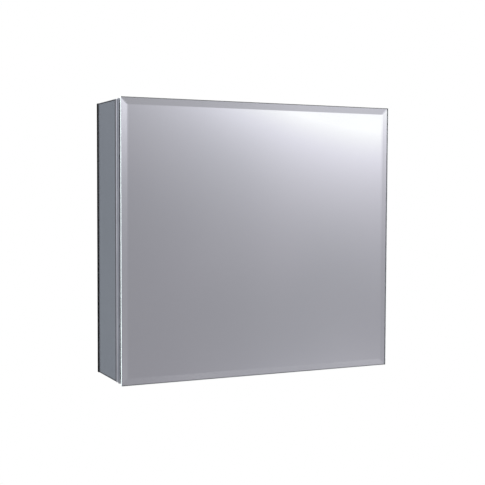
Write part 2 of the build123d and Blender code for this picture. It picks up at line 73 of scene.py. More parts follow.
def linear(hex_colour, alpha=1.0):
    """Turn an sRGB hex colour into a linear one."""
    channels = []
    for start in (0, 2, 4):
        value = int(hex_colour[start:start + 2], 16) / 255
        channels.append(value / 12.92 if value <= 0.04045 else ((value + 0.055) / 1.055) ** 2.4)
    return (*channels, alpha)


def add_node(tree, kind, settings=None, inputs=None):
    """Add a node: settings are its attributes, inputs are values or sockets to link."""
    node = tree.nodes.new(kind)
    for name, value in (settings or {}).items():
        setattr(node, name, value)
    for name, value in (inputs or {}).items():
        if isinstance(value, bpy.types.NodeSocket):
            tree.links.new(value, node.inputs[name])
        else:
            node.inputs[name].default_value = value
    return node


def start_material(name):
    """An empty material and its node tree."""
    material = bpy.data.materials.new(name)
    material.use_nodes = True
    material.node_tree.nodes.clear()
    return material, material.node_tree


def close_material(tree, shader_inputs):
    """End a tree with a Principled shader that has these inputs."""
    shader = add_node(tree, "ShaderNodeBsdfPrincipled", inputs=shader_inputs)
    add_node(tree, "ShaderNodeOutputMaterial", inputs={"Surface": shader.outputs["BSDF"]})


def two_tone(tree, level, dark, light, low=NOISE_LOW, high=NOISE_HIGH):
    """Colour that goes from dark to light as a pattern's level goes from low to high."""
    share = add_node(
        tree, "ShaderNodeMapRange", inputs={"Value": level, "From Min": low, "From Max": high}
    )
    mix = add_node(
        tree,
        "ShaderNodeMix",
        {"data_type": "RGBA"},
        {0: share.outputs["Result"], 6: linear(dark), 7: linear(light)},
    )
    return mix.outputs[2]


def anodised_aluminium(name, run_axis):
    """Extruded and satin anodised: soft grey metal with faint lines along the run.

    The die lines are really about 0.3 mm apart, and are drawn coarser so that they show.
    """
    material, tree = start_material(name)
    place = add_node(tree, "ShaderNodeTexCoord")
    stretch = [1 / DIE_LINE_SPACING] * 3
    stretch[run_axis] = 1 / DIE_LINE_LENGTH
    mapped = add_node(
        tree,
        "ShaderNodeMapping",
        inputs={"Vector": place.outputs["Object"], "Scale": stretch},
    )
    lines = add_node(
        tree,
        "ShaderNodeTexNoise",
        inputs={"Vector": mapped.outputs["Vector"], "Scale": 1.0, "Detail": 3.0},
    )
    cloud = add_node(
        tree,
        "ShaderNodeTexNoise",
        inputs={"Vector": place.outputs["Object"], "Scale": CLOUDS_PER_METRE, "Detail": 2.0},
    )
    both = add_node(
        tree,
        "ShaderNodeMath",
        {"operation": "MULTIPLY"},
        {0: lines.outputs["Fac"], 1: cloud.outputs["Fac"]},
    )
    colour = two_tone(tree, both.outputs["Value"], ANODISED_SHADE, ANODISED_COLOUR, *CLOUDED_LEVELS)
    roughness = add_node(
        tree,
        "ShaderNodeMapRange",
        inputs={
            "Value": lines.outputs["Fac"],
            "From Min": NOISE_LOW,
            "From Max": NOISE_HIGH,
            "To Min": ANODISED_ROUGHNESS[0],
            "To Max": ANODISED_ROUGHNESS[1],
        },
    )
    bump = add_node(
        tree,
        "ShaderNodeBump",
        inputs={"Height": lines.outputs["Fac"], "Strength": 0.12, "Distance": DIE_LINE_DEPTH},
    )
    close_material(
        tree,
        {
            "Base Color": colour,
            "Metallic": 1.0,
            "Roughness": roughness.outputs["Result"],
            "Normal": bump.outputs["Normal"],
        },
    )
    return material


def dress(node, material):
    """Give a carried-over CAD part its finish."""
    mesh = nodes[node].data
    mesh.materials.clear()
    mesh.materials.append(material)


aluminium_upright = anodised_aluminium("anodised_aluminium_upright", 2)
aluminium_level = anodised_aluminium("anodised_aluminium_level", 0)
for side, _ in LEFT_AND_RIGHT:
    dress(f"body_profile_{side}", aluminium_upright)
for side, _ in TOP_AND_BOTTOM:
    dress(f"body_profile_{side}", aluminium_level)


# ---------------------------------------------------------------------------
# Corner keys: zinc castings that fill the flange's hollow at each mitre.
# They are hidden in the assembled cabinet, and look dull grey and slightly
# pebbled from the die.
# ---------------------------------------------------------------------------
CAST_ZINC_COLOUR = "9A9C9E"
CAST_ZINC_SHADE = "838587"
CAST_GRAIN = 1.2 * MM


def grained_metal(name, light, dark, grain, roughness, bump_depth):
    """Metal whose colour and gloss vary in soft patches of one grain size.

    The roughness is a pair, from the glossiest patch to the dullest.
    """
    material, tree = start_material(name)
    place = add_node(tree, "ShaderNodeTexCoord")
    grains = add_node(
        tree,
        "ShaderNodeTexNoise",
        inputs={"Vector": place.outputs["Object"], "Scale": 1 / grain, "Detail": 3.0},
    )
    colour = two_tone(tree, grains.outputs["Fac"], dark, light)
    gloss = add_node(
        tree,
        "ShaderNodeMapRange",
        inputs={
            "Value": grains.outputs["Fac"],
            "From Min": NOISE_LOW,
            "From Max": NOISE_HIGH,
            "To Min": roughness[0],
            "To Max": roughness[1],
        },
    )
    bump = add_node(
        tree,
        "ShaderNodeBump",
        inputs={"Height": grains.outputs["Fac"], "Strength": 0.3, "Distance": bump_depth},
    )
    close_material(
        tree,
        {
            "Base Color": colour,
            "Metallic": 1.0,
            "Roughness": gloss.outputs["Result"],
            "Normal": bump.outputs["Normal"],
        },
    )
    return material


# die-cast zinc: dull grey, with a soft pebble from the die
cast_zinc = grained_metal(
    "cast_zinc",
    CAST_ZINC_COLOUR,
    CAST_ZINC_SHADE,
    CAST_GRAIN,
    roughness=(0.45, 0.6),
    bump_depth=0.1 * MM,
)
dress("body_corner_keys", cast_zinc)
dress("door_corner_keys", cast_zinc)


# ---------------------------------------------------------------------------
# Countersunk screws: zinc-plated steel with a cross recess, heads flush with
# the flange. Eight of them draw the frame's corners onto their keys.
# ---------------------------------------------------------------------------
PLATED_COLOUR = "C4C7CB"
PLATED_SHADE = "A9ADB0"
PLATED_CLOUD = 2.0 * MM
HEAD_SEGMENTS = 32
POINT_START = 0.85
POINT_RADIUS = 0.2
RECESS_REACH = (0.6, 0.3)
RECESS_WIDTH = (0.13, 0.07)
RECESS_DEPTH = 0.7
KEY_SCREW_FROM_CORNER = 38.0 * MM
FLANGE_WIDTH = 14.0 * MM

# zinc plating: bright, with a slight cloudiness that breaks up reflections
zinc_plated_steel = grained_metal(
    "zinc_plated_steel",
    PLATED_COLOUR,
    PLATED_SHADE,
    PLATED_CLOUD,
    roughness=(0.22, 0.34),
    bump_depth=0.02 * MM,
)


def looking(position, direction):
    """Matrix that puts a fastener's head at a position, its top facing a direction."""
    turn = Vector(direction).to_track_quat("Z", "Y").to_matrix().to_4x4()
    return Matrix.Translation(position) @ turn


def finish_mesh(name, shape, materials, smooth_angle=35.0):
    """Turn a bmesh into a scene object with these materials."""
    bmesh.ops.recalc_face_normals(shape, faces=shape.faces)
    mesh = bpy.data.meshes.new(name)
    shape.to_mesh(mesh)
    shape.free()
    for material in materials:
        mesh.materials.append(material)
    mesh.shade_smooth()
    mesh.set_sharp_from_angle(angle=math.radians(smooth_angle))
    piece = bpy.data.objects.new(name, mesh)
    bpy.context.scene.collection.objects.link(piece)
    return piece


def ring_of(shape, radius, height, place, segments):
    """A loop of vertices round a fastener's axis."""
    loop = []
    for step in range(segments):
        angle = 2 * math.pi * step / segments
        spot = Vector((radius * math.cos(angle), radius * math.sin(angle), height))
        loop.append(shape.verts.new(place @ spot))
    return loop


def skin(shape, first, second):
    """Join two loops of equal length with faces."""
    count = len(first)
    for step in range(count):
        after = (step + 1) % count
        shape.faces.new((first[step], first[after], second[after], second[step]))


def cross_loop(shape, reach, width, height, place):
    """The twelve corners of a cross recess."""
    corners = []
    for quarter in range(4):
        turn = Matrix.Rotation(quarter * math.pi / 2, 3, "Z")
        for x, y in ((width, width), (width, reach), (-width, reach)):
            corners.append(shape.verts.new(place @ (turn @ Vector((x, y, height)))))
    return corners


def countersunk_screws(name, places, head_radius, sink, shank_radius, length):
    """Flat-headed screws with a tapered cross recess, one at each place.

    The recess narrows from its mouth to its floor, so its reach and width are pairs.
    """
    shape = bmesh.new()
    for place in places:
        rim = ring_of(shape, head_radius, 0, place, HEAD_SEGMENTS)
        neck = ring_of(shape, shank_radius, -sink, place, HEAD_SEGMENTS)
        taper = ring_of(shape, shank_radius, -length * POINT_START, place, HEAD_SEGMENTS)
        tip = ring_of(shape, shank_radius * POINT_RADIUS, -length, place, HEAD_SEGMENTS)
        skin(shape, rim, neck)
        skin(shape, neck, taper)
        skin(shape, taper, tip)
        shape.faces.new(tip)
        recess = [
            cross_loop(shape, head_radius * reach, head_radius * width, height, place)
            for reach, width, height in zip(RECESS_REACH, RECESS_WIDTH, (0, -sink * RECESS_DEPTH))
        ]
        skin(shape, *recess)
        shape.faces.new(recess[1])
        edges = []
        for loop in (rim, recess[0]):
            for first, second in zip(loop, loop[1:] + loop[:1]):
                edges.append(shape.edges.get((first, second)))
        bmesh.ops.triangle_fill(shape, use_beauty=True, edges=edges)
    return finish_mesh(name, shape, [zinc_plated_steel])


body_half_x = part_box("body_profile_top")[1][0]
body_half_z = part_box("body_profile_top")[1][2]
flange_front_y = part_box("body_profile_left")[0][1]
screw_low, screw_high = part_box("body_key_screws")
screw_middle_y = (screw_low[1] + screw_high[1]) / 2
key_screw_places = []
for _, x_sign in LEFT_AND_RIGHT:
    for _, z_sign in TOP_AND_BOTTOM:
        beside = (
            x_sign * (body_half_x - FLANGE_WIDTH),
            screw_middle_y,
            z_sign * (body_half_z - KEY_SCREW_FROM_CORNER),
        )
        above = (
            x_sign * (body_half_x - KEY_SCREW_FROM_CORNER),
            screw_middle_y,
            z_sign * (body_half_z - FLANGE_WIDTH),
        )
        key_screw_places.append(looking(beside, (-x_sign, 0, 0)))
        key_screw_places.append(looking(above, (0, 0, -z_sign)))
key_screws = countersunk_screws(
    "key_screws_cross_recess",
    key_screw_places,
    head_radius=3.0 * MM,
    sink=1.5 * MM,
    shank_radius=1.6 * MM,
    length=9.0 * MM,
)
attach(key_screws, "cabinet")
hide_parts("body_key_screws")


# ---------------------------------------------------------------------------
# Side mirrors: 3 mm float glass, silvered and painted on the back and held in
# the step behind the flange by grey foam tape. The glass is a real thickness,
# so the silver is seen through it. Their seamed edges are sealed dark grey, and
# that dark grey is painted shade for the gap along their edges.
# ---------------------------------------------------------------------------
FLOAT_GLASS_IOR = 1.52
FLOAT_GLASS_COLOUR = "FEFFFF"
FLOAT_GLASS_SHADE = "FBFDFC"
GLASS_DRIFT = 200 * MM
GROUND_EDGE_COLOUR = "DDE5E4"
GROUND_EDGE_SHADE = "C3CFCD"
GRIND_GRAIN = 0.8 * MM
SILVER_COLOUR = "F7F7FA"
SILVER_SHADE = "F2F2F6"
SILVER_DRIFT = 250 * MM
BACKING_PAINT_COLOUR = "8E8F92"
BACKING_PAINT_SHADE = "85868A"
# dark grey of the sealer, which also paints the shade of the gap along the side mirrors' edges
SEALER_PAINTED_SHADE_COLOUR = "404144"
SEALER_PAINTED_SHADE_DARK = "343538"
SEALER_GRAIN = 1.0 * MM
# width of the sealer border behind the side mirrors' glass: a dark strip of painted shade along their edges
SIDE_PAINTED_SHADE_BORDER = 1.2 * MM
# edges of flat glass stay sharp from this many degrees on
FLAT_ANGLE = 1.0
# cosines: a face square to the sheet, and one close to square, such as a bevel
SQUARE_ON = 0.999
NEARLY_SQUARE = 0.9
WELD = 0.001 * MM
# thickness of the backing paint, and the hair's breadth between it and the silver
COAT = 0.1 * MM
COAT_GAP = 0.02 * MM
PAINT_GRAIN = 1.5 * MM
GLOSS_SPREAD = 0.06
FOAM_COLOUR = "63666A"
FOAM_SHADE = "4B4E52"
FOAM_CELL = 0.9 * MM


def float_glass():
    """Clear float glass: smooth and colourless when seen through its thickness."""
    material, tree = start_material("float_glass")
    place = add_node(tree, "ShaderNodeTexCoord")
    drift = add_node(
        tree,
        "ShaderNodeTexNoise",
        inputs={"Vector": place.outputs["Object"], "Scale": 1 / GLASS_DRIFT, "Detail": 0.0},
    )
    tint = two_tone(tree, drift.outputs["Fac"], FLOAT_GLASS_SHADE, FLOAT_GLASS_COLOUR)
    close_material(
        tree,
        {
            "Base Color": tint,
            "Roughness": 0.0,
            "IOR": FLOAT_GLASS_IOR,
            "Transmission Weight": 1.0,
        },
    )
    return material


def matt_solid(
    name, light, dark, grain, roughness, bump_depth, texture="ShaderNodeTexNoise", specular=0.5
):
    """Non-metal with a soft surface: colour, gloss and bump vary by one grain size."""
    material, tree = start_material(name)
    place = add_node(tree, "ShaderNodeTexCoord")
    grains = add_node(
        tree, texture, inputs={"Vector": place.outputs["Object"], "Scale": 1 / grain, "Detail": 2.0}
    )
    level = grains.outputs[0]
    colour = two_tone(tree, level, dark, light, 0.25, 0.75)
    gloss = add_node(
        tree,
        "ShaderNodeMapRange",
        inputs={
            "Value": level,
            "To Min": roughness - GLOSS_SPREAD,
            "To Max": roughness + GLOSS_SPREAD,
        },
    )
    bump = add_node(
        tree, "ShaderNodeBump", inputs={"Height": level, "Strength": 0.5, "Distance": bump_depth}
    )
    close_material(
        tree,
        {
            "Base Color": colour,
            "Roughness": gloss.outputs["Result"],
            "Specular IOR Level": specular,
            "Normal": bump.outputs["Normal"],
        },
    )
    return material


def silvering():
    """Silver laid on glass: a near-perfect reflector with a very faint cool cast."""
    material, tree = start_material("silvering_on_glass")
    place = add_node(tree, "ShaderNodeTexCoord")
    drift = add_node(
        tree,
        "ShaderNodeTexNoise",
        inputs={"Vector": place.outputs["Object"], "Scale": 1 / SILVER_DRIFT, "Detail": 1.0},
    )
    tint = two_tone(tree, drift.outputs["Fac"], SILVER_SHADE, SILVER_COLOUR)
    close_material(tree, {"Base Color": tint, "Metallic": 1.0, "Roughness": 0.0})
    return material


clear_glass = float_glass()
silver = silvering()
# ground glass: pale and finely frosted
ground_edge = matt_solid(
    "ground_glass_edge",
    GROUND_EDGE_COLOUR,
    GROUND_EDGE_SHADE,
    GRIND_GRAIN,
    roughness=0.5,
    bump_depth=0.02 * MM,
)
# curtain-coated paint: even light grey, with a faint mottle
backing_paint = matt_solid(
    "mirror_backing_paint",
    BACKING_PAINT_COLOUR,
    BACKING_PAINT_SHADE,
    PAINT_GRAIN,
    roughness=0.6,
    bump_depth=0.01 * MM,
)
# brushed-on sealer: dull dark grey, seen through the glass as a thin dark border; the dark grey is painted shade
# for the gap along the side mirrors' edges
sealer_painted_shade = matt_solid(
    "mirror_edge_sealer_painted_shade",
    SEALER_PAINTED_SHADE_COLOUR,
    SEALER_PAINTED_SHADE_DARK,
    SEALER_GRAIN,
    roughness=0.7,
    bump_depth=0.01 * MM,
)
# seamed glass under the same sealer: the grinding gives it a fine grain, and its dark grey is painted shade for
# the gap along the edges
sealed_edge_painted_shade = matt_solid(
    "seamed_edge_sealer_painted_shade",
    SEALER_PAINTED_SHADE_COLOUR,
    SEALER_PAINTED_SHADE_DARK,
    GRIND_GRAIN,
    roughness=0.55,
    bump_depth=0.02 * MM,
)


def mirror_sheet(node, silver_side, body, border, edge, sealer):
    """A CAD sheet made into a mirror: clear glass, worked edges, silver and paint behind.

    The glass is thinned by the paint's thickness. The silver stops a border's width short of
    the edges, where the border coat shows through the glass. On the side mirrors that coat is
    the dark sealer, painted shade for the gap along their edges.
    """
    direction = Vector(silver_side)
    shape = bmesh.new()
    shape.from_mesh(nodes[node].data)
    bmesh.ops.remove_doubles(shape, verts=shape.verts, dist=WELD)
    far = max(corner.co.dot(direction) for corner in shape.verts)
    for corner in shape.verts:
        if corner.co.dot(direction) > far - COAT_GAP:
            corner.co -= direction * (COAT + 2 * COAT_GAP)
    shape.normal_update()
    rear = [face for face in shape.faces if face.normal.dot(direction) > SQUARE_ON]
    paint_shape = shape.copy()
    for face in shape.faces:
        face.material_index = 0 if face.normal.dot(direction) < -NEARLY_SQUARE else 1
    rim = bmesh.ops.inset_region(shape, faces=rear, thickness=border, use_even_offset=True)
    for face in rear:
        face.material_index = 2
    # the rim round the silver takes the border coat; on the side mirrors it is painted shade
    for face in rim["faces"]:
        face.material_index = 3
    mirror = finish_mesh(
        f"{node}_silvered", shape, [clear_glass, edge, silver, sealer], FLAT_ANGLE
    )
    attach(mirror, body)
    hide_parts(node)

    front = [face for face in paint_shape.faces if face.normal.dot(direction) <= SQUARE_ON]
    bmesh.ops.delete(paint_shape, geom=front, context="FACES")
    bmesh.ops.translate(paint_shape, verts=paint_shape.verts, vec=direction * COAT_GAP)
    copied = bmesh.ops.extrude_face_region(paint_shape, geom=list(paint_shape.faces))
    moved = [item for item in copied["geom"] if isinstance(item, bmesh.types.BMVert)]
    bmesh.ops.translate(paint_shape, verts=moved, vec=direction * COAT)
    paint = finish_mesh(f"{node}_backing", paint_shape, [backing_paint])
    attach(paint, body)


# cut foam: dead matt grey, with open cells
closed_cell_foam = matt_solid(
    "closed_cell_foam",
    FOAM_COLOUR,
    FOAM_SHADE,
    FOAM_CELL,
    roughness=0.92,
    bump_depth=0.2 * MM,
    texture="ShaderNodeTexVoronoi",
)
for side, x_sign in LEFT_AND_RIGHT:
    # side mirrors: their edges and a thin border get the dark sealer, painted shade for the gap along their edges
    mirror_sheet(
        f"side_mirror_{side}", (-x_sign, 0, 0), "cabinet", SIDE_PAINTED_SHADE_BORDER, sealed_edge_painted_shade, sealer_painted_shade
    )
    dress(f"side_mirror_tape_{side}", closed_cell_foam)


# ---------------------------------------------------------------------------
# Edge trims: extruded black rubber strips with rounded outer edges, pressed into
# the step between each side mirror and the wall. They hardly shine at all.
# ---------------------------------------------------------------------------
RUBBER_COLOUR = "0A0A0B"
RUBBER_SHADE = "050506"
RUBBER_GRAIN = 1.0 * MM

# extruded rubber: deep matt black, with a faint grain
black_rubber = matt_solid(
    "extruded_rubber",
    RUBBER_COLOUR,
    RUBBER_SHADE,
    RUBBER_GRAIN,
    roughness=0.85,
    bump_depth=0.05 * MM,
    specular=0.05,
)
for side, _ in LEFT_AND_RIGHT:
    dress(f"side_edge_trim_{side}", black_rubber)


# ---------------------------------------------------------------------------
# Back: a powder-coated steel panel, riveted to the profile's rear return, with
# two aluminium strips behind it that bear on the wall. In front of it a mirror
# is taped on, with nylon grommets in the four holes for the wall screws.
# ---------------------------------------------------------------------------
BACK_BORDER = 0.8 * MM
POWDER_COLOUR = "D6D7D6"
POWDER_SHADE = "CBCCCB"
ORANGE_PEEL = 2.5 * MM
NYLON_COLOUR = "E8E6DF"
NYLON_SHADE = "DEDCD4"
NYLON_GRAIN = 1.0 * MM
RIVET_INSET = 13.0 * MM
RIVET_SIDE_STEP = 180.0 * MM
RIVET_TOP_STEP = 130.0 * MM
GROMMET_RADIUS = 8.0 * MM
GROMMET_RIM = 10.0 * MM
GROMMET_TOP = 1.0 * MM
GROMMET_HOLE = 3.5 * MM
GROMMET_ROUND = 0.9 * MM
GROMMET_MOUTH = 0.8 * MM
TURNED_SEGMENTS = 48
RIVET_DISH = 0.4
RIVET_BORE = (0.3, 0.27)

# powder coat: even pale grey, with a soft orange peel
powder_coat = matt_solid(
    "powder_coated_steel",
    POWDER_COLOUR,
    POWDER_SHADE,
    ORANGE_PEEL,
    roughness=0.42,
    bump_depth=0.05 * MM,
)
# moulded nylon: warm white, smooth but not shiny
moulded_nylon = matt_solid(
    "moulded_nylon",
    NYLON_COLOUR,
    NYLON_SHADE,
    NYLON_GRAIN,
    roughness=0.45,
    bump_depth=0.01 * MM,
)
dress("back_panel", powder_coat)
dress("wall_strip_upper", aluminium_level)
dress("wall_strip_lower", aluminium_level)
dress("back_mirror_tape", closed_cell_foam)
mirror_sheet("interior_back_mirror", (0, 1, 0), "cabinet", BACK_BORDER, ground_edge, backing_paint)


def turned(name, outline, places, materials, smooth_angle=35.0):
    """Revolve an outline of (radius, height) about each place's axis.

    It makes a ring with a hole if the outline's ends meet, and a solid piece otherwise.
    """
    shape = bmesh.new()
    closed = outline[0] == outline[-1]
    for place in places:
        loops = []
        for radius, height in (outline[:-1] if closed else outline):
            loops.append(ring_of(shape, radius, height, place, TURNED_SEGMENTS))
        for first, second in zip(loops, loops[1:]):
            skin(shape, first, second)
        if closed:
            skin(shape, loops[-1], loops[0])
        else:
            shape.faces.new(loops[0])
            shape.faces.new(loops[-1])
    return finish_mesh(name, shape, materials, smooth_angle)


def rounded(start, corner, end, steps=5):
    """Points of a quarter turn from start to end that bulges towards the corner."""
    points = []
    for step in range(steps + 1):
        share = step / steps
        keep, bend = (1 - share) ** 2, 2 * share * (1 - share)
        points.append(
            tuple(keep * a + bend * b + share**2 * c for a, b, c in zip(start, corner, end))
        )
    return points


panel_front_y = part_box("back_panel")[0][1]
rivet_places = []
for _, x_sign in LEFT_AND_RIGHT:
    for step in (-1, 0, 1):
        spot = (x_sign * (body_half_x - RIVET_INSET), panel_front_y, step * RIVET_SIDE_STEP)
        rivet_places.append(looking(spot, (0, -1, 0)))
for _, z_sign in TOP_AND_BOTTOM:
    for step in (-1, 1):
        spot = (step * RIVET_TOP_STEP, panel_front_y, z_sign * (body_half_z - RIVET_INSET))
        rivet_places.append(looking(spot, (0, -1, 0)))


def blind_rivet(head, height, lip, shank, length):
    """Outline of a domed blind rivet with the broken pin's hole in its head."""
    return [
        (shank, -length),
        (shank, 0.0),
        (head, 0.0),
        *rounded((head, lip), (0.9 * head, height), (RIVET_DISH * head, height)),
        (RIVET_BORE[0] * head, height),
        (RIVET_BORE[1] * head, 0.5 * height),
    ]


panel_rivet = blind_rivet(head=3.2 * MM, height=0.9 * MM, lip=0.25 * MM, shank=1.6 * MM, length=3.1 * MM)
panel_rivets = turned("panel_blind_rivets", panel_rivet, rivet_places, [cast_zinc])
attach(panel_rivets, "cabinet")
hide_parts("back_panel_rivets")

mirror_front_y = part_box("interior_back_mirror")[0][1]
wall_holes = next(mount for mount in frame["record"]["mounts"] if mount["name"] == "wall_holes")
wall_hole_x = wall_holes["dims"]["spacing_x_mm"] * MM / 2
wall_hole_z = wall_holes["dims"]["spacing_y_mm"] * MM / 2
grommet_places = [
    looking((x_sign * wall_hole_x, mirror_front_y, z_sign * wall_hole_z), (0, -1, 0))
    for _, x_sign in LEFT_AND_RIGHT
    for _, z_sign in TOP_AND_BOTTOM
]
seat_depth = mirror_front_y - panel_front_y
grommet_outline = [
    (GROMMET_HOLE, seat_depth),
    (GROMMET_RADIUS, seat_depth),
    (GROMMET_RADIUS, 0.0),
    (GROMMET_RIM, 0.0),
    *rounded(
        (GROMMET_RIM, 0.3 * GROMMET_TOP),
        (GROMMET_RIM, GROMMET_TOP),
        (GROMMET_RIM - GROMMET_ROUND, GROMMET_TOP),
    ),
    *rounded(
        (GROMMET_HOLE + GROMMET_MOUTH, GROMMET_TOP),
        (GROMMET_HOLE, GROMMET_TOP),
        (GROMMET_HOLE, 0.2 * GROMMET_TOP),
    ),
    (GROMMET_HOLE, seat_depth),
]
grommets = turned("wall_screw_grommets", grommet_outline, grommet_places, [moulded_nylon])
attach(grommets, "cabinet")
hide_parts("wall_hole_grommets")


# ---------------------------------------------------------------------------
# Shelves: two tempered glass plates on steel pegs with clear sleeves. The pegs
# push into the drilled aluminium tracks on the side walls. The plates are
# clear, and their polished edges are the green of glass seen end on.
# ---------------------------------------------------------------------------
PEG_OUTS = (25.0 * MM, 88.0 * MM)
PEG_RADIUS = 3.0 * MM
PEG_REACH = 12.4 * MM
PEG_ROUND = 0.8 * MM
PIN_RADIUS = 2.5 * MM
PIN_DEPTH = 5.0 * MM
PIN_LEAD = 0.5 * MM
COLLAR_RADIUS = 4.5 * MM
COLLAR = 1.0 * MM
COLLAR_ROUND = 0.5 * MM
SLEEVE_RADIUS = 4.0 * MM
SLEEVE_START = 1.5 * MM
SLEEVE_BACK_CHAMFER = 0.2 * MM
SLEEVE_FRONT_CHAMFER = 0.3 * MM
EDGE_GREEN = "A9CDBF"
EDGE_GREEN_SHADE = "93BCAC"
EDGE_PATCHES_PER_METRE = 60.0
VINYL_COLOUR = "EEF0EC"
VINYL_IOR = 1.49
VINYL_HAZE = 2.5 * MM
VINYL_ROUGHNESS = (0.12, 0.3)


def clear_vinyl():
    """Soft clear plastic: see-through with a slight haze."""
    material, tree = start_material("clear_soft_vinyl")
    place = add_node(tree, "ShaderNodeTexCoord")
    haze = add_node(
        tree,
        "ShaderNodeTexNoise",
        inputs={"Vector": place.outputs["Object"], "Scale": 1 / VINYL_HAZE, "Detail": 2.0},
    )
    roughness = add_node(
        tree,
        "ShaderNodeMapRange",
        inputs={
            "Value": haze.outputs["Fac"],
            "To Min": VINYL_ROUGHNESS[0],
            "To Max": VINYL_ROUGHNESS[1],
        },
    )
    close_material(
        tree,
        {
            "Base Color": linear(VINYL_COLOUR),
            "Roughness": roughness.outputs["Result"],
            "IOR": VINYL_IOR,
            "Transmission Weight": 0.85,
        },
    )
    return material


def green_glass_edge():
    """Polished edge of a clear plate: light from the whole width leaves it green."""
    material, tree = start_material("polished_glass_edge")
    place = add_node(tree, "ShaderNodeTexCoord")
    drift = add_node(
        tree,
        "ShaderNodeTexNoise",
        inputs={"Vector": place.outputs["Object"], "Scale": EDGE_PATCHES_PER_METRE, "Detail": 1.0},
    )
    tint = two_tone(tree, drift.outputs["Fac"], EDGE_GREEN_SHADE, EDGE_GREEN)
    close_material(
        tree,
        {
            "Base Color": tint,
            "Roughness": 0.12,
            "IOR": FLOAT_GLASS_IOR,
            "Transmission Weight": 0.35,
        },
    )
    return material


clear_sleeve = clear_vinyl()
polished_edge = green_glass_edge()
peg_outline = [
    (PIN_RADIUS * 0.8, -PIN_DEPTH),
    (PIN_RADIUS, -PIN_DEPTH + PIN_LEAD),
    (PIN_RADIUS, 0.0),
    (COLLAR_RADIUS, 0.0),
    *rounded(
        (COLLAR_RADIUS, 0.5 * COLLAR), (COLLAR_RADIUS, COLLAR), (COLLAR_RADIUS - COLLAR_ROUND, COLLAR)
    ),
    (PEG_RADIUS, COLLAR),
    *rounded(
        (PEG_RADIUS, PEG_REACH - PEG_ROUND), (PEG_RADIUS, PEG_REACH), (PEG_RADIUS - PEG_ROUND, PEG_REACH)
    ),
]
sleeve_outline = [
    (PEG_RADIUS, SLEEVE_START),
    (SLEEVE_RADIUS - SLEEVE_BACK_CHAMFER, SLEEVE_START),
    (SLEEVE_RADIUS, SLEEVE_START + SLEEVE_BACK_CHAMFER),
    (SLEEVE_RADIUS, PEG_REACH - SLEEVE_FRONT_CHAMFER),
    (SLEEVE_RADIUS - SLEEVE_FRONT_CHAMFER, PEG_REACH),
    (PEG_RADIUS, PEG_REACH),
    (PEG_RADIUS, SLEEVE_START),
]
for side, _ in LEFT_AND_RIGHT:
    dress(f"shelf_tracks_{side}", aluminium_upright)
for name in ("upper", "lower"):
    node = f"shelf_{name}"
    mesh = nodes[node].data.copy()
    mesh.materials.clear()
    for material in (clear_glass, polished_edge):
        mesh.materials.append(material)
    for face in mesh.polygons:
        face.material_index = 0 if abs(face.normal.z) > NEARLY_SQUARE else 1
    plate = bpy.data.objects.new(f"shelf_plate_{name}", mesh)
    bpy.context.scene.collection.objects.link(plate)
    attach(plate, "cabinet")
    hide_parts(node)

    pin_low, pin_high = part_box(f"shelf_pins_{name}")
    track_face_x = pin_high[0] - PIN_DEPTH
    pin_z = (pin_low[2] + pin_high[2]) / 2
    places = [
        looking((x_sign * track_face_x, -out, pin_z), (-x_sign, 0, 0))
        for _, x_sign in LEFT_AND_RIGHT
        for out in PEG_OUTS
    ]
    pegs = turned(f"shelf_pegs_{name}", peg_outline, places, [zinc_plated_steel])
    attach(pegs, "cabinet")
    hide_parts(f"shelf_pins_{name}")
    sleeves = turned(f"shelf_sleeves_{name}", sleeve_outline, places, [clear_sleeve])
    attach(sleeves, "cabinet")
    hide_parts(f"shelf_pin_sleeves_{name}")


# ---------------------------------------------------------------------------
# Pivots: a steel plate screwed to the flange at the top and at the bottom of
# the right side carries a 3 mm pin over the door's edge. The pin turns in a
# flanged nylon bush in the door. The plates are zinc plated.
# ---------------------------------------------------------------------------
BRACKET_SCREW_STEPS = (5.0 * MM, 23.0 * MM)
BRACKET_SCREW_BACK = 9.0 * MM
pivot_x = next(joint for joint in frame["joints"] if joint["name"] == "door_swing")["pos_m"][0]

for side, _ in TOP_AND_BOTTOM:
    dress(f"pivot_bracket_{side}", zinc_plated_steel)
dress("pivot_pins", zinc_plated_steel)
dress("pivot_bushes", moulded_nylon)
plate_top_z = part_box("pivot_bracket_top")[1][2]
bracket_screw_places = [
    looking((pivot_x - step, flange_front_y + BRACKET_SCREW_BACK, z_sign * plate_top_z), (0, 0, z_sign))
    for step in BRACKET_SCREW_STEPS
    for _, z_sign in TOP_AND_BOTTOM
]
plate_screws = countersunk_screws(
    "pivot_plate_screws",
    bracket_screw_places,
    head_radius=3.2 * MM,
    sink=1.4 * MM,
    shank_radius=1.5 * MM,
    length=8.0 * MM,
)
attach(plate_screws, "cabinet")
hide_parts("bracket_screws")


# ---------------------------------------------------------------------------
# Door stop and catch: four soft clear buffers on the flange, and two nickel
# plated magnets in black nylon cups that hold steel discs on the door's back.
# ---------------------------------------------------------------------------
BUFFER_RADIUS = 4.5 * MM
BUFFER_FOOT = 0.8 * MM
BUFFER_HEIGHT = 2.8 * MM
BUFFER_TOP_RADIUS = 1.2 * MM
BUFFER_SMOOTH_ANGLE = 60.0
BUFFER_RIGHT_X = 180.0 * MM
CUP_COLOUR = "1C1C1E"
CUP_SHADE = "151516"
NICKEL_COLOUR = "BDBBB4"
NICKEL_SHADE = "AEACA5"
NICKEL_CLOUD = 1.5 * MM
CATCH_HEIGHT = 150.0 * MM

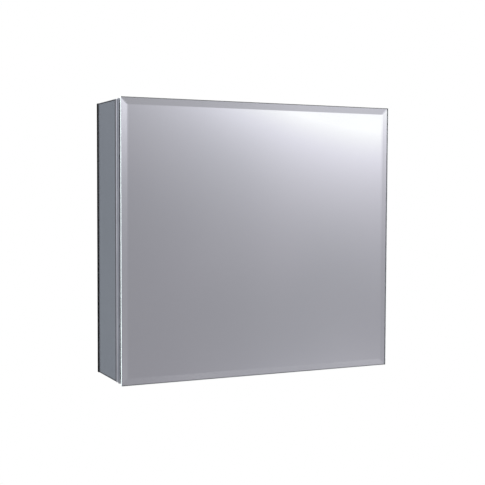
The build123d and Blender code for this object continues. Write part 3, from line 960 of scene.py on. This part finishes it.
flange_middle_x = body_half_x - FLANGE_WIDTH / 2
flange_middle_z = body_half_z - FLANGE_WIDTH / 2
buffer_places = [
    looking((x, flange_front_y, z_sign * flange_middle_z), (0, -1, 0))
    for x in (-flange_middle_x, BUFFER_RIGHT_X)
    for _, z_sign in TOP_AND_BOTTOM
]
buffer_outline = [
    (BUFFER_RADIUS, 0.0),
    (BUFFER_RADIUS, BUFFER_FOOT),
    *rounded(
        (BUFFER_RADIUS - 0.1 * MM, BUFFER_FOOT + 0.1 * MM),
        (BUFFER_RADIUS - 0.4 * MM, BUFFER_HEIGHT),
        (BUFFER_TOP_RADIUS, BUFFER_HEIGHT),
    ),
]
buffers = turned(
    "soft_door_buffers", buffer_outline, buffer_places, [clear_sleeve], BUFFER_SMOOTH_ANGLE
)
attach(buffers, "cabinet")
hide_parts("door_bumpers")

# nickel plating: warmer and glossier than zinc
nickel_plate = grained_metal(
    "nickel_plated_magnet",
    NICKEL_COLOUR,
    NICKEL_SHADE,
    NICKEL_CLOUD,
    roughness=(0.14, 0.24),
    bump_depth=0.01 * MM,
)
# black moulded nylon: smooth and dull, so the cups don't show in the gap behind the door
black_nylon = matt_solid(
    "black_moulded_nylon",
    CUP_COLOUR,
    CUP_SHADE,
    NYLON_GRAIN,
    roughness=0.5,
    bump_depth=0.01 * MM,
)
dress("catch_magnets", nickel_plate)
dress("catch_magnet_cups", black_nylon)
dress("catch_strikes", zinc_plated_steel)
strike_back_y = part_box("catch_strikes")[1][1]
strike_places = [
    looking((-flange_middle_x, strike_back_y, z_sign * CATCH_HEIGHT), (0, 1, 0))
    for _, z_sign in TOP_AND_BOTTOM
]
strike_screws = countersunk_screws(
    "strike_disc_screws",
    strike_places,
    head_radius=2.4 * MM,
    sink=0.9 * MM,
    shank_radius=1.2 * MM,
    length=5.0 * MM,
)
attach(strike_screws, "door")
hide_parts("catch_strike_screws")


# ---------------------------------------------------------------------------
# Door frame: four hollow aluminium rails, mitred and riveted onto corner keys.
# A thin mirror sits in their rebate on foam tape and is held by a vinyl bead,
# so the door shows a mirror on its back too.
# ---------------------------------------------------------------------------
INNER_BORDER = 0.8 * MM
DOOR_RIVET_IN = 15.0 * MM
DOOR_RIVET_ALONG = 48.0 * MM

for side, _ in LEFT_AND_RIGHT:
    dress(f"door_rail_{side}", aluminium_upright)
for side, _ in TOP_AND_BOTTOM:
    dress(f"door_rail_{side}", aluminium_level)
rail_half_x, rail_back_y, rail_half_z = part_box("door_rail_top")[1]
door_rivet_places = [
    looking((x_sign * (rail_half_x - a), rail_back_y, z_sign * (rail_half_z - b)), (0, 1, 0))
    for _, x_sign in LEFT_AND_RIGHT
    for _, z_sign in TOP_AND_BOTTOM
    for a, b in ((DOOR_RIVET_IN, DOOR_RIVET_ALONG), (DOOR_RIVET_ALONG, DOOR_RIVET_IN))
]
door_rivet = blind_rivet(head=3.0 * MM, height=0.8 * MM, lip=0.2 * MM, shank=1.59 * MM, length=8.5 * MM)
key_rivets = turned("door_blind_rivets", door_rivet, door_rivet_places, [cast_zinc])
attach(key_rivets, "door")
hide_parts("door_key_rivets")
dress("door_inner_mirror_tape", closed_cell_foam)
dress("door_inner_mirror_bead", moulded_nylon)
mirror_sheet("door_inner_mirror", (0, -1, 0), "door", INNER_BORDER, ground_edge, backing_paint)


# ---------------------------------------------------------------------------
# Door mirror: 5 mm glass that covers the whole front and overhangs the rails,
# with a polished half-inch bevel on all four sides and silver on the back.
# The bevel is a thin prism, so it shows the room shifted towards the middle.
# ---------------------------------------------------------------------------
DOOR_BORDER = 1.2 * MM

mirror_sheet("door_mirror_glass", (0, 1, 0), "door", DOOR_BORDER, ground_edge, backing_paint)
dress("door_mirror_tape", closed_cell_foam)


# ---------------------------------------------------------------------------
# Studio: a grey room, white to the camera, with a bright patch high on the right
# that the front mirror reflects, softer light from the left and a pale floor
# below a cabinet that hangs at head height. Two lamps light the matt surfaces.
# ---------------------------------------------------------------------------
FLOOR_BELOW = 1.45
FLOOR_RADIUS = 2.4
FLOOR_COLOUR = "A6A6A4"
FLOOR_SHADE = "A1A19F"
FLOOR_MOTTLE = 40 * MM
# share of the radius within which the floor is solid
FLOOR_SOLID = 0.4
# tones run from black at 0 to white at 255, and the room has the grey one where nothing is added
FULL_TONE = 255.0
GREY_TONE = 140.7
DISPLAY_GAMMA = 2.2
# light that grows along a slope in (x, x squared, z): gain, slope, middle height, limit
GLOW_X = 0.45
HIGH_GLOW = (39.2, (6.12, -26.2, 12.3), 0.0, 150.0)
LOW_GLOW = (9.14, (10.15, -92.8, -20.5), -0.15, 70.0)
# each light is a product of smooth rises: axis, start, full, light
ROOM_LIGHTS = {
    "panel": (("X", -0.36, -0.44, 0.35), ("X", -0.78, -0.62, 1.0)),
    "window": (("X", 0.14, -0.4, 0.6), ("Z", -0.35, 0.35, 1.0), ("Y", 0.0, -0.8, 1.0)),
    "left glow": (("X", -0.75, -1.0, 0.8),),
    "ceiling": (("Z", 0.35, 0.85, 0.9),),
    "ground": (("Z", -0.3, -0.75, 0.35),),
}
WHITE_FROM = 0.85
BEHIND_FULL = 0.6
# share of the light that comes back out of a silvered glass
GLASS_RETURN = 0.90
ROOM_TINT = (1.0, 0.985, 1.06, 1.0)
BEHIND_TINT = (0.76, 0.82, 0.91, 1.0)
WHITE = (1.0, 1.0, 1.0, 1.0)
CAMERA_PLACE = (-0.825, -1.813, 0.091)
CAMERA_TURN = 25.23
CAMERA_TILT = -2.97
CAMERA_ROLL = 0.22
CAMERA_LENS = 74.0
SENSOR_WIDTH = 36.0


def glow(tree, spot, shape):
    """Tone that grows exponentially along a slope, up to a limit."""
    gain, slope, middle, most = shape
    rise = add_node(
        tree, "ShaderNodeVectorMath", {"operation": "DOT_PRODUCT"}, {0: spot, 1: slope}
    )
    level = rise.outputs["Value"]
    start = math.log(gain) - slope[2] * middle
    for operation, value in (("ADD", start), ("MINIMUM", math.log(most)), ("EXPONENT", 0.0)):
        step = add_node(tree, "ShaderNodeMath", {"operation": operation}, {0: level, 1: value})
        level = step.outputs[0]
    return level


world = bpy.data.worlds.new("studio")
bpy.context.scene.world = world
world.use_nodes = True
room = world.node_tree
room.nodes.clear()
direction = add_node(room, "ShaderNodeTexCoord").outputs["Generated"]
axes = add_node(room, "ShaderNodeSeparateXYZ", inputs={0: direction}).outputs
across = add_node(room, "ShaderNodeMath", {"operation": "SUBTRACT"}, {0: axes["X"], 1: GLOW_X})
from_glow = across.outputs[0]
square = add_node(room, "ShaderNodeMath", {"operation": "MULTIPLY"}, {0: from_glow, 1: from_glow})
spot = add_node(
    room, "ShaderNodeCombineXYZ", inputs={"X": from_glow, "Y": square.outputs[0], "Z": axes["Z"]}
).outputs["Vector"]
glows = add_node(
    room,
    "ShaderNodeMath",
    {"operation": "ADD"},
    {0: glow(room, spot, HIGH_GLOW), 1: glow(room, spot, LOW_GLOW)},
)
tone = add_node(
    room,
    "ShaderNodeMapRange",
    inputs={"Value": glows.outputs[0], "From Min": -GREY_TONE, "From Max": FULL_TONE - GREY_TONE},
).outputs["Result"]
lit = tone
for operation, value in (("POWER", DISPLAY_GAMMA), ("DIVIDE", GLASS_RETURN)):
    lit = add_node(room, "ShaderNodeMath", {"operation": operation}, {0: lit, 1: value}).outputs[0]
for rises in ROOM_LIGHTS.values():
    light = 1.0
    for axis, start, full, most in rises:
        rise = add_node(
            room,
            "ShaderNodeMapRange",
            {"interpolation_type": "SMOOTHSTEP"},
            {"Value": axes[axis], "From Min": start, "From Max": full, "To Max": most},
        )
        product = {0: light, 1: rise.outputs["Result"]}
        light = add_node(room, "ShaderNodeMath", {"operation": "MULTIPLY"}, product).outputs[0]
    lit = add_node(room, "ShaderNodeMath", {"operation": "ADD"}, {0: lit, 1: light}).outputs[0]

# the room is cool, its brightest tones are white, and it is bluer behind the wall
tint = ROOM_TINT
for level, start, full, colour in (
    (tone, WHITE_FROM, 1.0, WHITE),
    (axes["Y"], 0.0, BEHIND_FULL, BEHIND_TINT),
):
    share = add_node(
        room,
        "ShaderNodeMapRange",
        {"interpolation_type": "SMOOTHSTEP"},
        {"Value": level, "From Min": start, "From Max": full},
    )
    mix = add_node(
        room,
        "ShaderNodeMix",
        {"data_type": "RGBA"},
        {"Factor": share.outputs["Result"], 6: tint, 7: colour},
    )
    tint = mix.outputs[2]
surroundings = add_node(room, "ShaderNodeBackground", inputs={"Color": tint, "Strength": lit})
backdrop = add_node(room, "ShaderNodeBackground", inputs={"Color": WHITE})
chosen = add_node(
    room,
    "ShaderNodeMixShader",
    inputs={
        0: add_node(room, "ShaderNodeLightPath").outputs["Is Camera Ray"],
        1: surroundings.outputs[0],
        2: backdrop.outputs[0],
    },
)
add_node(room, "ShaderNodeOutputWorld", inputs={"Surface": chosen.outputs[0]})

floor_middle = (0, -FLOOR_RADIUS / 4, -FLOOR_BELOW)
floor_shape = bmesh.new()
bmesh.ops.create_circle(floor_shape, cap_ends=True, segments=96, radius=FLOOR_RADIUS)
bmesh.ops.translate(floor_shape, verts=floor_shape.verts, vec=floor_middle)
# rolled floor paint: matt and pale, and it fades out towards the disc's rim
pale_floor = matt_solid(
    "pale_floor_paint",
    FLOOR_COLOUR,
    FLOOR_SHADE,
    FLOOR_MOTTLE,
    roughness=0.8,
    bump_depth=0.1 * MM,
)
floor_tree = pale_floor.node_tree
from_middle = add_node(
    floor_tree,
    "ShaderNodeVectorMath",
    {"operation": "DISTANCE"},
    {0: add_node(floor_tree, "ShaderNodeTexCoord").outputs["Object"], 1: floor_middle},
)
fade = add_node(
    floor_tree,
    "ShaderNodeMapRange",
    {"interpolation_type": "SMOOTHSTEP"},
    {
        "Value": from_middle.outputs["Value"],
        "From Min": FLOOR_RADIUS,
        "From Max": FLOOR_SOLID * FLOOR_RADIUS,
    },
)
floor_shader = floor_tree.nodes["Principled BSDF"]
floor_tree.links.new(fade.outputs["Result"], floor_shader.inputs["Alpha"])
studio_floor = finish_mesh("studio_floor", floor_shape, [pale_floor])


def soft_lamp(name, place, aim, size, power):
    """A large square lamp that points at a spot; the mirrors don't show it."""
    light = bpy.data.lights.new(name, "AREA")
    light.shape = "SQUARE"
    light.size = size
    light.energy = power
    lamp = bpy.data.objects.new(name, light)
    lamp.location = place
    lamp.rotation_euler = (Vector(aim) - Vector(place)).to_track_quat("-Z", "Y").to_euler()
    lamp.visible_glossy = False
    lamp.visible_transmission = False
    bpy.context.scene.collection.objects.link(lamp)


soft_lamp("lamp_front_left", place=(-2.4, -1.6, 1.4), aim=(0.0, -0.1, 0.0), size=1.4, power=40.0)
soft_lamp("lamp_left", place=(-2.2, 0.1, 0.05), aim=(-0.2, -0.1, 0.0), size=1.6, power=45.0)

camera_data = bpy.data.cameras.new("camera")
camera_data.lens = CAMERA_LENS
camera_data.sensor_width = SENSOR_WIDTH
camera = bpy.data.objects.new("camera", camera_data)
turn = Euler((math.radians(90 + CAMERA_TILT), 0, math.radians(-CAMERA_TURN))).to_matrix().to_4x4()
roll = Matrix.Rotation(math.radians(CAMERA_ROLL), 4, "Z")
camera.matrix_world = Matrix.Translation(CAMERA_PLACE) @ turn @ roll
bpy.context.scene.collection.objects.link(camera)
bpy.context.scene.camera = camera
bpy.context.scene.view_settings.view_transform = "Standard"
